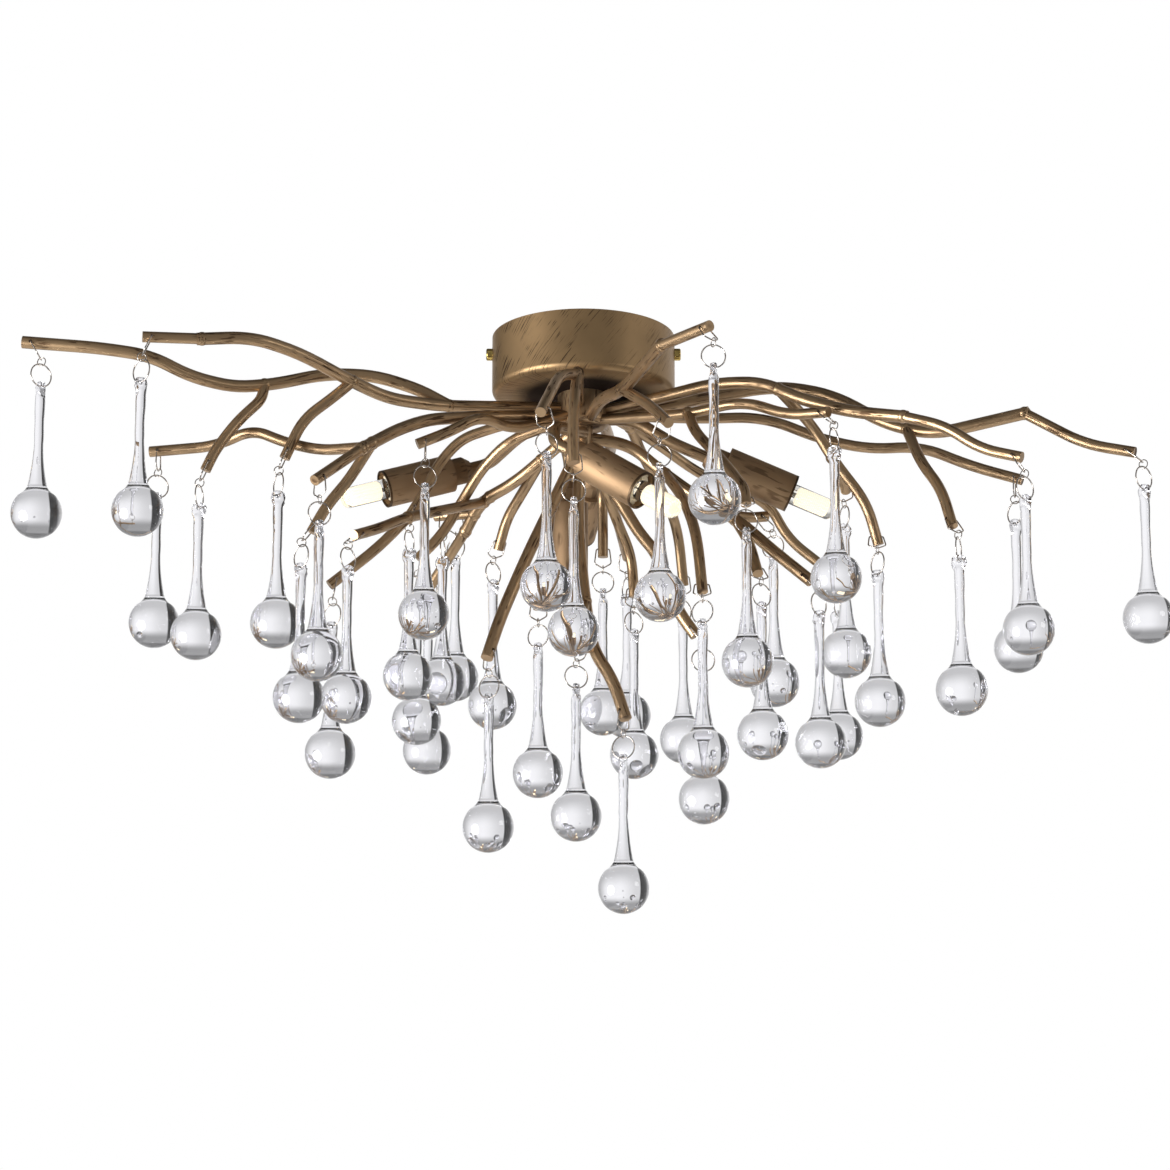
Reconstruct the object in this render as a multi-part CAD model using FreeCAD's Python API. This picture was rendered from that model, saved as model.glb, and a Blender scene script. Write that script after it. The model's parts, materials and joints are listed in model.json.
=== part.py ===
import FreeCAD, Part
import math
import os

Vector = FreeCAD.Vector
os.makedirs("parts", exist_ok=True)

# Ceiling light: a round canopy, a tree of bent and welded rods, five lampholders, and 42 glass drops that
# hang on wire hooks and rings from the rod tips. The origin is the centre of the ceiling plane, +Z is up.

# Driving dimensions of the whole light
spread_radius = 380.0
rod_fall = 260.0

# Rods
arm_diameter = 8.0
twig_diameter = 7.0
knuckle_diameter = 8.8
weld_speck_volume = 1.0
smallest_overlap = 0.001
join_slacks = [0.0, 0.001, 0.004, 0.01]
join_error_share = 0.01
tip_hole_diameter = 2.2
tip_hole_inset = 5.8
tangent_run_share = 0.45
smallest_turn = math.radians(1.5)

# Canopy and its fixings
canopy_diameter = 120.0
canopy_height = 40.0
canopy_wall = 1.2
canopy_edge_radius = 4.0
canopy_screw_diameter = 4.0
canopy_screw_length = 9.0
canopy_screw_head_diameter = 8.0
canopy_screw_head_height = 4.0
canopy_screw_head_edge = 1.0
canopy_screw_drop = 11.0
thread_clearance = 0.2
bracket_width = 22.0
bracket_thickness = 1.6
bracket_ear_height = 17.0
bracket_side_gap = 0.3
ceiling_screw_spacing = 70.0
ceiling_screw_hole_diameter = 5.0
ceiling_slot_spacing = 34.0
ceiling_slot_length = 14.0

# Hub under the canopy
hub_diameter = 34.0
hub_height = 22.0
hub_edge_radius = 4.0
hub_stem_diameter = 13.0
hub_stem_length = 26.0
nipple_diameter = 10.0
nipple_bore = 7.0
nipple_rise = 9.0
nut_width = 16.0
nut_height = 4.0
pass_clearance = 0.3

# Lampholders and their bulbs
cup_diameter = 25.0
cup_length = 47.5
cup_wall = 1.0
collar_diameter = 18.0
collar_length = 14.0
collar_end_diameter = 11.0
insert_diameter = 20.0
insert_recess = 4.0
insert_rib_count = 8
insert_rib_width = 2.0
insert_slot_width = 4.6
insert_slot_length = 15.0
insert_slot_depth = 12.0
bulb_diameter = 14.0
bulb_length = 34.0
bulb_nose_length = 7.0
bulb_nose_shares = [(1.0, 0.0), (0.94, 0.3), (0.74, 0.64), (0.42, 0.89), (0.0, 1.0)]
bulb_foot_width = 14.0
bulb_foot_thickness = 4.0
bulb_foot_length = 11.0
bulb_gap = 0.5

# Wire hooks and rings
hook_wire = 0.9
hook_height = 13.8
hook_top_width = 9.0
hook_shoulder_width = 11.5
hook_shoulder_drop = 10.4
jump_ring_diameter = 6.4
jump_ring_wire = 0.7
drop_ring_diameter = 15.8
drop_ring_wire = 0.9
hook_gap = 1.0
link_gap = 0.45
head_gap = 0.55
jump_ring_sides = 8
drop_ring_sides = 12
jump_turn_share = 0.6

# Glass drops
ball_diameter = 32.5
drop_rise = 87.0
crease_diameter = 12.6
crease_rise = 17.0
neck_diameter = 5.8
neck_start_rise = 46.0
neck_end_rise = 76.0
head_neck_diameter = 6.4
head_diameter = 10.0
head_thickness = 4.4
head_hole_diameter = 2.6
head_hole_below_top = 3.4
drop_sides = 16
ball_low_angles = [math.radians(angle) for angle in (-68.0, -40.0, -12.0, 16.0)]
shoulder_angle = math.radians(42.0)
flare_shares = [(0.52, 0.2), (0.22, 0.52)]
head_crown_shares = [(0.92, 0.45), (0.66, 0.8)]
crown_diameter = 3.4

overrun = 2.0
steepest_level_rod = math.radians(20)
hexagon_sides = 6

DOWN = Vector(0, 0, -1)
ORIGIN = Vector(0, 0, 0)


def place(share):
    """A point of the tree: x and y follow the spread, z follows the fall of the rods."""
    return Vector(share[0] * spread_radius, share[1] * spread_radius, share[2] * rod_fall)


def unit(vector):
    return Vector(vector).normalize()


def save(node, solids):
    """Writes one node; several separate solids share a node as a compound."""
    shape = solids[0] if len(solids) == 1 else Part.makeCompound(solids)
    shape.exportStep("parts/" + node + ".step")


def revolve(wire, base, axis):
    return Part.Face(wire).revolve(base, axis, 360)


def cylinder(diameter, length, base, axis):
    return Part.makeCylinder(diameter / 2, length, base, axis)


def through_cylinder(diameter, length, centre, axis):
    """A cutter of the given length, centred on a point."""
    return cylinder(diameter, length, centre - unit(axis) * (length / 2), axis)


# Rods: straight runs joined by tangent arcs
def bent_wire(points):
    edges = []
    start = points[0]
    for before, corner, after in zip(points, points[1:], points[2:]):
        run_in = corner - before
        run_out = after - corner
        turn = run_in.getAngle(run_out)
        if turn < smallest_turn:
            continue
        tangent = tangent_run_share * min(run_in.Length, run_out.Length)
        radius = tangent / math.tan(turn / 2)
        inward = unit(unit(run_out) - unit(run_in))
        centre = corner + inward * (radius / math.cos(turn / 2))
        arc_start = corner - unit(run_in) * tangent
        arc_end = corner + unit(run_out) * tangent
        middle = centre + unit(corner - centre) * radius
        edges.append(Part.LineSegment(start, arc_start).toShape())
        edges.append(Part.Arc(arc_start, middle, arc_end).toShape())
        start = arc_end
    edges.append(Part.LineSegment(start, points[-1]).toShape())
    return Part.Wire(edges)


def rod_solid(points, diameter):
    section = Part.Wire(Part.makeCircle(diameter / 2, points[0], points[1] - points[0]))
    return bent_wire(points).makePipe(Part.Face(section))


def end_direction(points):
    return unit(points[-1] - points[-2])


def sideways(points):
    """The direction of a tip's cross hole: level, and square to the end of the rod."""
    level = end_direction(points).cross(DOWN)
    if level.Length < math.sin(steepest_level_rod):
        return Vector(1, 0, 0)
    return unit(level)


def tip_hole(points):
    return points[-1] - end_direction(points) * tip_hole_inset


# Centrelines of the rods. Every x and y is a share of the spread and every z a share of the fall. A rod
# whose name ends in a number carries the drop of that number at its last point.
LEFT_SHARES = {
    "long": [
        (-0.03, -0.01, -0.19), (-0.245, -0.085, -0.22), (-0.33, -0.145, -0.23),
        (-0.39, -0.195, -0.21), (-0.475, -0.275, -0.175), (-0.55, -0.335, -0.165),
        (-0.638, -0.357, -0.181),
    ],
    "twig_2": [(-0.63, -0.355, -0.18), (-0.727, -0.37, -0.182)],
    "far_1": [
        (-0.23, -0.08, -0.22), (-0.28, -0.09, -0.18), (-0.355, -0.105, -0.15),
        (-0.44, -0.115, -0.15), (-0.525, -0.13, -0.185), (-0.59, -0.165, -0.21),
        (-0.66, -0.21, -0.205), (-0.725, -0.25, -0.17), (-0.81, -0.26, -0.155),
        (-0.94, -0.25, -0.135),
    ],
    "twig_4": [
        (-0.54, -0.14, -0.195), (-0.545, -0.15, -0.235), (-0.585, -0.165, -0.30),
        (-0.62, -0.175, -0.38), (-0.635, -0.175, -0.43),
    ],
    "twig_5": [
        (-0.39, -0.195, -0.215), (-0.42, -0.205, -0.255), (-0.47, -0.21, -0.315),
        (-0.50, -0.21, -0.415),
    ],
    "low": [
        (-0.03, -0.02, -0.215), (-0.175, -0.11, -0.26), (-0.26, -0.18, -0.30),
        (-0.31, -0.22, -0.345), (-0.37, -0.29, -0.43),
    ],
    "twig_6": [(-0.368, -0.288, -0.428), (-0.44, -0.36, -0.54)],
    "twig_7": [
        (-0.355, -0.265, -0.40), (-0.39, -0.26, -0.495), (-0.425, -0.255, -0.555),
        (-0.45, -0.255, -0.624),
    ],
    "twig_3": [
        (-0.365, -0.28, -0.42), (-0.44, -0.21, -0.395), (-0.505, -0.16, -0.35),
        (-0.56, -0.135, -0.305), (-0.625, -0.105, -0.335), (-0.738, -0.085, -0.34),
    ],
    "twig_10": [
        (-0.02, -0.02, -0.21), (-0.12, -0.09, -0.285), (-0.175, -0.145, -0.275), (-0.225, -0.165, -0.325),
        (-0.28, -0.17, -0.36),
    ],
}
FRONT_SHARES = {
    "stub": [(-0.01, -0.01, -0.19), (-0.01, -0.2135, -0.195)],
    "twig_17": [
        (-0.01, -0.205, -0.195), (-0.04, -0.29, -0.24), (-0.055, -0.36, -0.32),
        (-0.07, -0.405, -0.39),
    ],
    "twig_18": [
        (-0.01, -0.205, -0.195), (-0.015, -0.275, -0.295), (-0.018, -0.29, -0.405),
        (-0.015, -0.295, -0.465),
    ],
    "side": [
        (0.01, -0.02, -0.22), (0.03, -0.145, -0.23), (0.065, -0.23, -0.25), (0.095, -0.31, -0.235),
        (0.13, -0.41, -0.22),
    ],
    "twig_26": [(0.127, -0.404, -0.2215), (0.205, -0.50, -0.22)],
    "twig_25": [(0.065, -0.23, -0.25), (0.11, -0.295, -0.318), (0.14, -0.355, -0.393)],
}
RIGHT_SHARES = {
    "top": [
        (0.03, -0.01, -0.20), (0.14, -0.055, -0.18), (0.225, -0.095, -0.165), (0.305, -0.13, -0.18),
        (0.365, -0.165, -0.24), (0.445, -0.21, -0.295), (0.54, -0.255, -0.33),
    ],
    "twig_39": [
        (0.533, -0.2515, -0.328), (0.60, -0.29, -0.37), (0.655, -0.315, -0.44), (0.72, -0.345, -0.475),
    ],
    "far": [
        (0.03, 0.015, -0.20), (0.20, 0.015, -0.155), (0.33, -0.02, -0.135), (0.425, -0.075, -0.185),
        (0.515, -0.12, -0.285), (0.59, -0.16, -0.33), (0.675, -0.19, -0.315),
        (0.747, -0.216, -0.2995),
    ],
    "twig_41": [(0.74, -0.213, -0.302), (0.835, -0.245, -0.395), (0.915, -0.275, -0.43)],
    "twig_38": [
        (0.545, -0.14, -0.305), (0.565, -0.20, -0.42), (0.595, -0.245, -0.51),
        (0.61, -0.27, -0.615),
    ],
    "twig_40": [
        (0.03, 0.03, -0.19), (0.205, 0.09, -0.17), (0.315, 0.09, -0.165), (0.415, 0.07, -0.235),
        (0.495, 0.05, -0.27), (0.585, 0.035, -0.27), (0.67, 0.02, -0.33), (0.755, 0.0, -0.375),
    ],
    "twig_33": [
        (0.02, -0.02, -0.225), (0.18, -0.07, -0.235), (0.27, -0.125, -0.225), (0.345, -0.18, -0.29),
        (0.41, -0.23, -0.305),
    ],
    "twig_30": [
        (0.175, -0.08, -0.235), (0.19, -0.11, -0.30), (0.235, -0.18, -0.41), (0.268, -0.235, -0.505),
        (0.27, -0.245, -0.549),
    ],
    "twig_37": [
        (0.34, -0.11, -0.225), (0.39, -0.11, -0.285), (0.425, -0.10, -0.37), (0.48, -0.09, -0.475),
        (0.50, -0.08, -0.58),
    ],
    "twig_34": [(0.42, -0.10, -0.365), (0.442, -0.055, -0.385), (0.45, -0.015, -0.41)],
}
BACK_SHARES = {
    "twig_13": [
        (-0.02, 0.02, -0.20), (-0.13, 0.065, -0.24), (-0.18, 0.11, -0.30), (-0.21, 0.145, -0.36),
        (-0.25, 0.16, -0.453), (-0.29, 0.16, -0.513),
    ],
    "lower": [
        (-0.005, 0.02, -0.225), (-0.12, 0.115, -0.33), (-0.18, 0.17, -0.355),
        (-0.211, 0.227, -0.417),
    ],
    "twig_42": [
        (-0.19, 0.195, -0.375), (-0.22, 0.215, -0.37), (-0.262, 0.235, -0.366),
    ],
    "twig_8": [
        (-0.18, 0.165, -0.355), (-0.245, 0.045, -0.435), (-0.30, -0.04, -0.49),
        (-0.345, -0.11, -0.55), (-0.385, -0.16, -0.59),
    ],
    "twig_9": [(-0.30, -0.04, -0.49), (-0.35, -0.05, -0.575), (-0.43, -0.06, -0.675)],
    "twig_15": [
        (-0.075, 0.075, -0.285), (-0.105, 0.14, -0.34), (-0.135, 0.195, -0.39),
        (-0.15, 0.22, -0.462),
    ],
    "twig_12": [
        (-0.165, 0.155, -0.35), (-0.19, 0.25, -0.335), (-0.21, 0.34, -0.31), (-0.235, 0.42, -0.283),
    ],
    "twig_11": [
        (-0.02, 0.01, -0.21), (-0.12, 0.04, -0.20), (-0.213, 0.066, -0.235), (-0.252, 0.08, -0.295),
        (-0.273, 0.08, -0.365), (-0.30, 0.08, -0.43),
    ],
    "twig_14": [
        (-0.208, 0.222, -0.41), (-0.242, 0.29, -0.46), (-0.279, 0.35, -0.518),
    ],
    "twig_21": [
        (0.0, 0.03, -0.215), (0.008, 0.17, -0.205), (0.025, 0.32, -0.195), (0.034, 0.395, -0.22),
        (0.035, 0.405, -0.33), (0.035, 0.408, -0.402),
    ],
    "twig_23": [
        (0.01, 0.03, -0.215), (0.035, 0.185, -0.305), (0.06, 0.25, -0.375), (0.085, 0.285, -0.45),
        (0.09, 0.29, -0.56),
    ],
    "twig_22": [
        (0.035, 0.18, -0.30), (0.06, 0.35, -0.32), (0.08, 0.53, -0.35),
    ],
    "twig_36": [
        (0.02, 0.02, -0.175), (0.115, 0.185, -0.175), (0.215, 0.25, -0.255), (0.33, 0.29, -0.305),
        (0.365, 0.31, -0.395), (0.45, 0.315, -0.495),
    ],
    "twig_27": [
        (0.08, 0.13, -0.18), (0.11, 0.22, -0.225), (0.135, 0.29, -0.255), (0.17, 0.395, -0.325),
        (0.181, 0.445, -0.463),
    ],
}
LOW_SHARES = {
    "fall_16": [
        (-0.01, 0.0, -0.30), (-0.05, -0.015, -0.435), (-0.095, -0.055, -0.595),
        (-0.14, -0.085, -0.768), (-0.162, -0.106, -0.88),
    ],
    "twig_19": [
        (-0.055, -0.02, -0.46), (-0.063, 0.02, -0.53), (-0.078, 0.03, -0.625), (-0.077, 0.03, -0.70),
    ],
    "fall_24": [
        (-0.005, 0.0, -0.30), (-0.01, 0.015, -0.475), (0.0, -0.015, -0.67), (0.015, -0.04, -0.83),
        (0.05, -0.065, -0.92), (0.071, -0.082, -1.024),
    ],
    "twig_20": [(0.002, -0.02, -0.70), (-0.005, -0.065, -0.785), (0.01, -0.075, -0.848)],
    "fall_29": [
        (0.0, 0.0, -0.31), (0.055, 0.0, -0.41), (0.095, -0.015, -0.52), (0.125, -0.03, -0.58),
        (0.16, -0.045, -0.735), (0.19, -0.05, -0.80),
    ],
    "fall_35": [
        (0.01, 0.0, -0.265), (0.08, 0.015, -0.275), (0.13, 0.015, -0.34), (0.19, 0.0, -0.415),
        (0.265, -0.03, -0.495), (0.315, -0.065, -0.58), (0.383, -0.105, -0.683),
    ],
    "twig_32": [(0.26, -0.03, -0.49), (0.28, -0.09, -0.575), (0.293, -0.13, -0.675)],
    "twig_31": [(0.24, -0.02, -0.465), (0.28, 0.01, -0.47), (0.315, 0.03, -0.457)],
    "twig_28": [
        (0.14, 0.01, -0.355), (0.17, -0.075, -0.455), (0.19, -0.16, -0.585), (0.198, -0.20, -0.75),
    ],
}
BRANCHES = {
    "branches_left": LEFT_SHARES,
    "branches_front": FRONT_SHARES,
    "branches_right": RIGHT_SHARES,
    "branches_back": BACK_SHARES,
    "branches_low": LOW_SHARES,
}

# Lampholders: the way of the arm, the point where it meets the collar, and a point that the cup looks at
LAMP_SHARES = [
    {"group": "branches_back", "arm": [(-0.02, 0.03, -0.20), (-0.10, 0.11, -0.19)],
     "seat": (-0.20, 0.163, -0.27), "aim": (-0.35, 0.121, -0.345)},
    {"group": "branches_front", "arm": [(0.0, -0.02, -0.26), (-0.05, -0.12, -0.29)],
     "seat": (-0.022, -0.162, -0.374), "aim": (0.098, -0.224, -0.505)},
    {"group": "branches_right", "arm": [(0.03, 0.0, -0.215), (0.085, 0.0, -0.215), (0.15, 0.0, -0.275)],
     "seat": (0.21, 0.006, -0.312), "aim": (0.36, 0.026, -0.40)},
    {"group": "branches_back", "arm": [(-0.02, 0.03, -0.22), (-0.03, 0.17, -0.165), (-0.03, 0.25, -0.18)],
     "seat": (-0.025, 0.265, -0.262), "aim": (-0.025, 0.29, -0.495)},
    {"group": "branches_back", "arm": [(0.03, 0.02, -0.195), (0.045, 0.17, -0.185), (0.05, 0.30, -0.16)],
     "seat": (0.02, 0.45, -0.157), "aim": (-0.01, 0.59, -0.257)},
]

# Hangers: the rod that carries each drop is found by its number. A lean in degrees tips the hook outward
# along the rod, and the turn of its ring about the vertical is 0 where the ring lies square to the front.
HOOK_LEANS = {
    1: -30, 2: 25, 4: 25, 5: 25, 7: 40, 8: 50, 9: 10, 11: 15, 13: 15, 14: 15, 15: 45, 17: -35, 20: -35,
    22: 15, 25: -35, 26: 40, 28: 40, 29: 35, 30: 50, 31: 50, 32: 40, 33: 45, 34: -20, 35: 45, 36: 20,
    37: -40, 38: 35, 39: 30, 41: 50,
}
RING_TURNS = {
    1: 38, 2: -42, 3: 30, 4: 75, 5: -62, 6: 25, 7: -50, 8: 55, 9: -40, 10: 20, 11: 68, 12: -35, 13: 20,
    14: -15, 15: 50, 16: -32, 17: 25, 18: 5, 19: -28, 20: 15, 21: 8, 22: -65, 23: 35, 24: -20, 25: 0,
    26: 5, 27: 40, 28: -30, 29: 10, 30: 15, 31: -25, 32: 35, 33: 65, 34: -68, 35: 48, 36: 70, 37: -60,
    38: 72, 39: 40, 40: -55, 41: 42, 42: 80,
}


def branch_points(group):
    """The corners of every rod of a branch; outside the hub a rod starts on the nearest earlier rod."""
    rods = {}
    paths = []
    for name, shares in BRANCHES[group].items():
        points = [place(share) for share in shares]
        if not in_hub(points[0]):
            start = Part.Vertex(points[0])
            nearest = min((path.distToShape(start) for path in paths), key=lambda found: found[0])
            points[0] = nearest[1][0][0]
        paths.append(bent_wire(points))
        rods[name] = points
    return rods


def in_hub(point):
    level = Vector(point.x, point.y, 0).Length
    return level < hub_diameter / 2 and point.z > -(canopy_height + hub_height + hub_stem_length)


def lamp_axis(lamp):
    return unit(place(lamp["aim"]) - place(lamp["seat"]))


def lamp_arm(lamp):
    """The arm's way ends with a short run along the lampholder's own axis."""
    seat = place(lamp["seat"])
    return [place(share) for share in lamp["arm"]] + [seat - lamp_axis(lamp) * collar_length, seat]


def group_rods(group):
    """Every rod and lamp arm of a branch, each with the knuckle at its weld, or with None at the hub."""
    rods = []
    for name, points in branch_points(group).items():
        rod = rod_solid(points, twig_diameter if name.startswith("twig") else arm_diameter)
        if name[-1].isdigit():
            length = arm_diameter + overrun
            hole = through_cylinder(tip_hole_diameter, length, tip_hole(points), sideways(points))
            rod = rod.cut(hole)
        knuckle = None if in_hub(points[0]) else Part.makeSphere(knuckle_diameter / 2, points[0])
        rods.append((rod, knuckle))
    for lamp in LAMP_SHARES:
        if lamp["group"] == group:
            rods.append((rod_solid(lamp_arm(lamp), arm_diameter), None))
    return rods


def closest_in_volume(attempt, due, allowed):
    """Runs a join or a cut with more and more slack until its volume is right, and keeps the nearest result."""
    best = None
    for slack in join_slacks:
        result = attempt(slack)
        if best is None or abs(result.Volume - due) < abs(best.Volume - due):
            best = result
        if best.isValid() and abs(best.Volume - due) < allowed:
            break
    return best


def weld(body, piece):
    due = body.Volume + piece.Volume - body.common(piece).Volume
    return closest_in_volume(lambda slack: body.fuse([piece], slack), due, piece.Volume * join_error_share)


def trim(body, cutter):
    shared = body.common(cutter).Volume
    if shared < smallest_overlap:
        return body
    due = body.Volume - shared
    return closest_in_volume(lambda slack: body.cut([cutter], slack), due, cutter.Volume * join_error_share)


def branch_solids(rods, others):
    """One welded branch, trimmed on the hub and on the rods of the branches before it."""
    body = rods[0][0]
    for rod, knuckle in rods[1:]:
        body = weld(body, weld(rod, knuckle) if knuckle else rod)
    for other in others:
        if body.BoundBox.intersect(other.BoundBox):
            body = trim(body, other)
    return [solid for solid in body.Solids if solid.Volume > weld_speck_volume]


# Canopy: a shallow cup with a rounded lower edge, open at the ceiling
def canopy():
    radius = canopy_diameter / 2
    outer = cylinder(canopy_diameter, canopy_height, Vector(0, 0, -canopy_height), -DOWN)
    lower_edges = [edge for edge in outer.Edges if edge.BoundBox.ZMax < -canopy_height / 2]
    outer = outer.makeFillet(canopy_edge_radius, lower_edges)
    inner_height = canopy_height - canopy_wall
    bore = canopy_diameter - 2 * canopy_wall
    inner = cylinder(bore, inner_height + overrun, Vector(0, 0, -inner_height), -DOWN)
    lower_edges = [edge for edge in inner.Edges if edge.BoundBox.ZMax < -canopy_height / 2]
    inner = inner.makeFillet(canopy_edge_radius - canopy_wall, lower_edges)
    shell = outer.cut(inner)
    floor = Vector(0, 0, -canopy_height)
    nipple_hole = through_cylinder(nipple_diameter + 2 * pass_clearance, canopy_height, floor, DOWN)
    screw_holes = [
        through_cylinder(canopy_screw_diameter + 2 * pass_clearance, canopy_height,
                         Vector(side * radius, 0, -canopy_screw_drop), Vector(1, 0, 0))
        for side in (-1, 1)
    ]
    return shell.cut([nipple_hole] + screw_holes)


def bracket_reach():
    """Half the bracket's length, to the outside of its ears, whose corners clear the canopy's bore."""
    bore = canopy_diameter / 2 - canopy_wall - bracket_side_gap
    return math.sqrt(bore ** 2 - (bracket_width / 2) ** 2)


# Bracket: a flat bar against the ceiling with an ear at each end, tapped for the canopy screws
def ceiling_bracket():
    reach = bracket_reach()
    bar = Part.makeBox(2 * reach, bracket_width, bracket_thickness,
                       Vector(-reach, -bracket_width / 2, -bracket_thickness))
    ears = [
        Part.makeBox(bracket_thickness, bracket_width, bracket_ear_height,
                     Vector(x, -bracket_width / 2, -bracket_ear_height))
        for x in (-reach, reach - bracket_thickness)
    ]
    body = bar.multiFuse(ears).removeSplitter()
    through = bracket_thickness + 2 * overrun
    cutters = [
        through_cylinder(ceiling_screw_hole_diameter, through,
                         Vector(side * ceiling_screw_spacing / 2, 0, -bracket_thickness / 2), DOWN)
        for side in (-1, 1)
    ]
    cutters += [
        slot(Vector(side * ceiling_slot_spacing / 2, 0, -bracket_thickness / 2), through)
        for side in (-1, 1)
    ]
    cutters.append(through_cylinder(canopy_screw_diameter + thread_clearance, 2 * canopy_diameter,
                                    Vector(0, 0, -canopy_screw_drop), Vector(1, 0, 0)))
    return body.cut(cutters)


def slot(centre, through):
    """A cutter for a round-ended slot that runs along the bracket."""
    half = ceiling_slot_length / 2 - ceiling_screw_hole_diameter / 2
    ends = [
        through_cylinder(ceiling_screw_hole_diameter, through, centre + Vector(side * half, 0, 0), DOWN)
        for side in (-1, 1)
    ]
    middle = Part.makeBox(2 * half, ceiling_screw_hole_diameter, through,
                          centre - Vector(half, ceiling_screw_hole_diameter / 2, through / 2))
    return middle.multiFuse(ends)


# Canopy screws: a domed knurled head outside the wall and a shank into the bracket's ear
def canopy_screw(side):
    outward = Vector(side, 0, 0)
    wall = outward * (canopy_diameter / 2) + DOWN * canopy_screw_drop
    shank = cylinder(canopy_screw_diameter, canopy_screw_length, wall, -outward)
    head = cylinder(canopy_screw_head_diameter, canopy_screw_head_height, wall, outward)
    middle = abs(wall.x) + canopy_screw_head_height / 2
    crown = [edge for edge in head.Edges if edge.Closed and abs(edge.BoundBox.Center.x) > middle]
    return shank.fuse(head.makeFillet(canopy_screw_head_edge, crown))


# Hub: a turned boss under the canopy, with a stem below and a hollow threaded nipple above
def hub():
    boss = cylinder(hub_diameter, hub_height, Vector(0, 0, -canopy_height), DOWN)
    low = -(canopy_height + hub_height)
    lower_edges = [edge for edge in boss.Edges if edge.BoundBox.ZMax < low + hub_edge_radius]
    boss = boss.makeFillet(hub_edge_radius, lower_edges)
    stem = cylinder(hub_stem_diameter, hub_stem_length, Vector(0, 0, low), DOWN)
    dome = Part.makeSphere(hub_stem_diameter / 2, Vector(0, 0, low - hub_stem_length))
    nipple = cylinder(nipple_diameter, nipple_rise, Vector(0, 0, -canopy_height), -DOWN)
    nipple_top = Vector(0, 0, nipple_rise - canopy_height)
    bore = cylinder(nipple_bore, nipple_rise + hub_height / 2, nipple_top, DOWN)
    return boss.multiFuse([stem, dome, nipple]).cut(bore)


def hub_nut():
    turns = [2 * math.pi * side / hexagon_sides for side in range(hexagon_sides + 1)]
    corner_radius = nut_width / 2 / math.cos(math.pi / hexagon_sides)
    base = Vector(0, 0, canopy_wall - canopy_height)
    corners = [base + Vector(math.cos(turn), math.sin(turn), 0) * corner_radius for turn in turns]
    nut = Part.Face(Part.makePolygon(corners)).extrude(-DOWN * nut_height)
    return nut.cut(through_cylinder(nipple_diameter + thread_clearance, canopy_height, base, DOWN))


def on_lamp(shape, lamp):
    """Moves a shape from the lampholder's own frame, with +Z from the arm to the mouth, to its seat."""
    turn = FreeCAD.Rotation(Vector(0, 0, 1), lamp_axis(lamp))
    shape.Placement = FreeCAD.Placement(place(lamp["seat"]), turn)
    return shape


# Lampholder cup: a tapered collar on the arm and a thin straight shell, open at the mouth
def lampholder_cup(lamp):
    taper_end = collar_length / 3
    mouth = collar_length + cup_length
    floor = collar_length + cup_wall
    bore = cup_diameter / 2 - cup_wall
    outline = [
        Vector(0, 0, 0), Vector(collar_end_diameter / 2, 0, 0), Vector(collar_diameter / 2, 0, taper_end),
        Vector(collar_diameter / 2, 0, collar_length), Vector(cup_diameter / 2, 0, collar_length),
        Vector(cup_diameter / 2, 0, mouth), Vector(bore, 0, mouth), Vector(bore, 0, floor),
        Vector(0, 0, floor), Vector(0, 0, 0),
    ]
    return on_lamp(revolve(Part.makePolygon(outline), ORIGIN, Vector(0, 0, 1)), lamp)


def insert_face():
    return collar_length + cup_length - insert_recess


# Ceramic insert: a round body with ribs that reach the bore, and a slot for the bulb's flat foot
def lampholder_insert(lamp):
    floor = collar_length + cup_wall
    length = insert_face() - floor
    body = cylinder(insert_diameter, length, Vector(0, 0, floor), -DOWN)
    reach = cup_diameter / 2 - cup_wall - pass_clearance
    rib = Part.makeBox(reach, insert_rib_width, length, Vector(0, -insert_rib_width / 2, floor))
    ribs = []
    for index in range(insert_rib_count):
        turned = rib.copy()
        turned.rotate(ORIGIN, Vector(0, 0, 1), 360 * index / insert_rib_count)
        ribs.append(turned)
    bore = cylinder(2 * reach, length, Vector(0, 0, floor), -DOWN)
    body = body.multiFuse(ribs).common(bore)
    slot_floor = insert_face() - insert_slot_depth
    slot_box = Part.makeBox(insert_slot_length, insert_slot_width, insert_slot_depth + overrun,
                            Vector(-insert_slot_length / 2, -insert_slot_width / 2, slot_floor))
    return on_lamp(body.cut(slot_box), lamp)


# Bulb: a round-nosed capsule on a flat pinched foot
def capsule_bulb(lamp):
    base = insert_face() + bulb_gap
    nose_start = base + bulb_length - bulb_nose_length
    outline = [Vector(0, 0, base), Vector(bulb_diameter / 2, 0, base)]
    for reach, rise in bulb_nose_shares:
        outline.append(Vector(reach * bulb_diameter / 2, 0, nose_start + rise * bulb_nose_length))
    capsule = revolve(Part.makePolygon(outline + outline[:1]), ORIGIN, Vector(0, 0, 1))
    foot_height = bulb_foot_length + bulb_gap
    foot_low = Vector(0, 0, base - foot_height)
    corner = foot_low - Vector(bulb_foot_width / 2, bulb_foot_thickness / 2, 0)
    foot = Part.makeBox(bulb_foot_width, bulb_foot_thickness, foot_height, corner)
    foot = foot.common(cylinder(bulb_foot_width, foot_height, foot_low, -DOWN))
    return on_lamp(capsule.fuse(foot), lamp)


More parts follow.
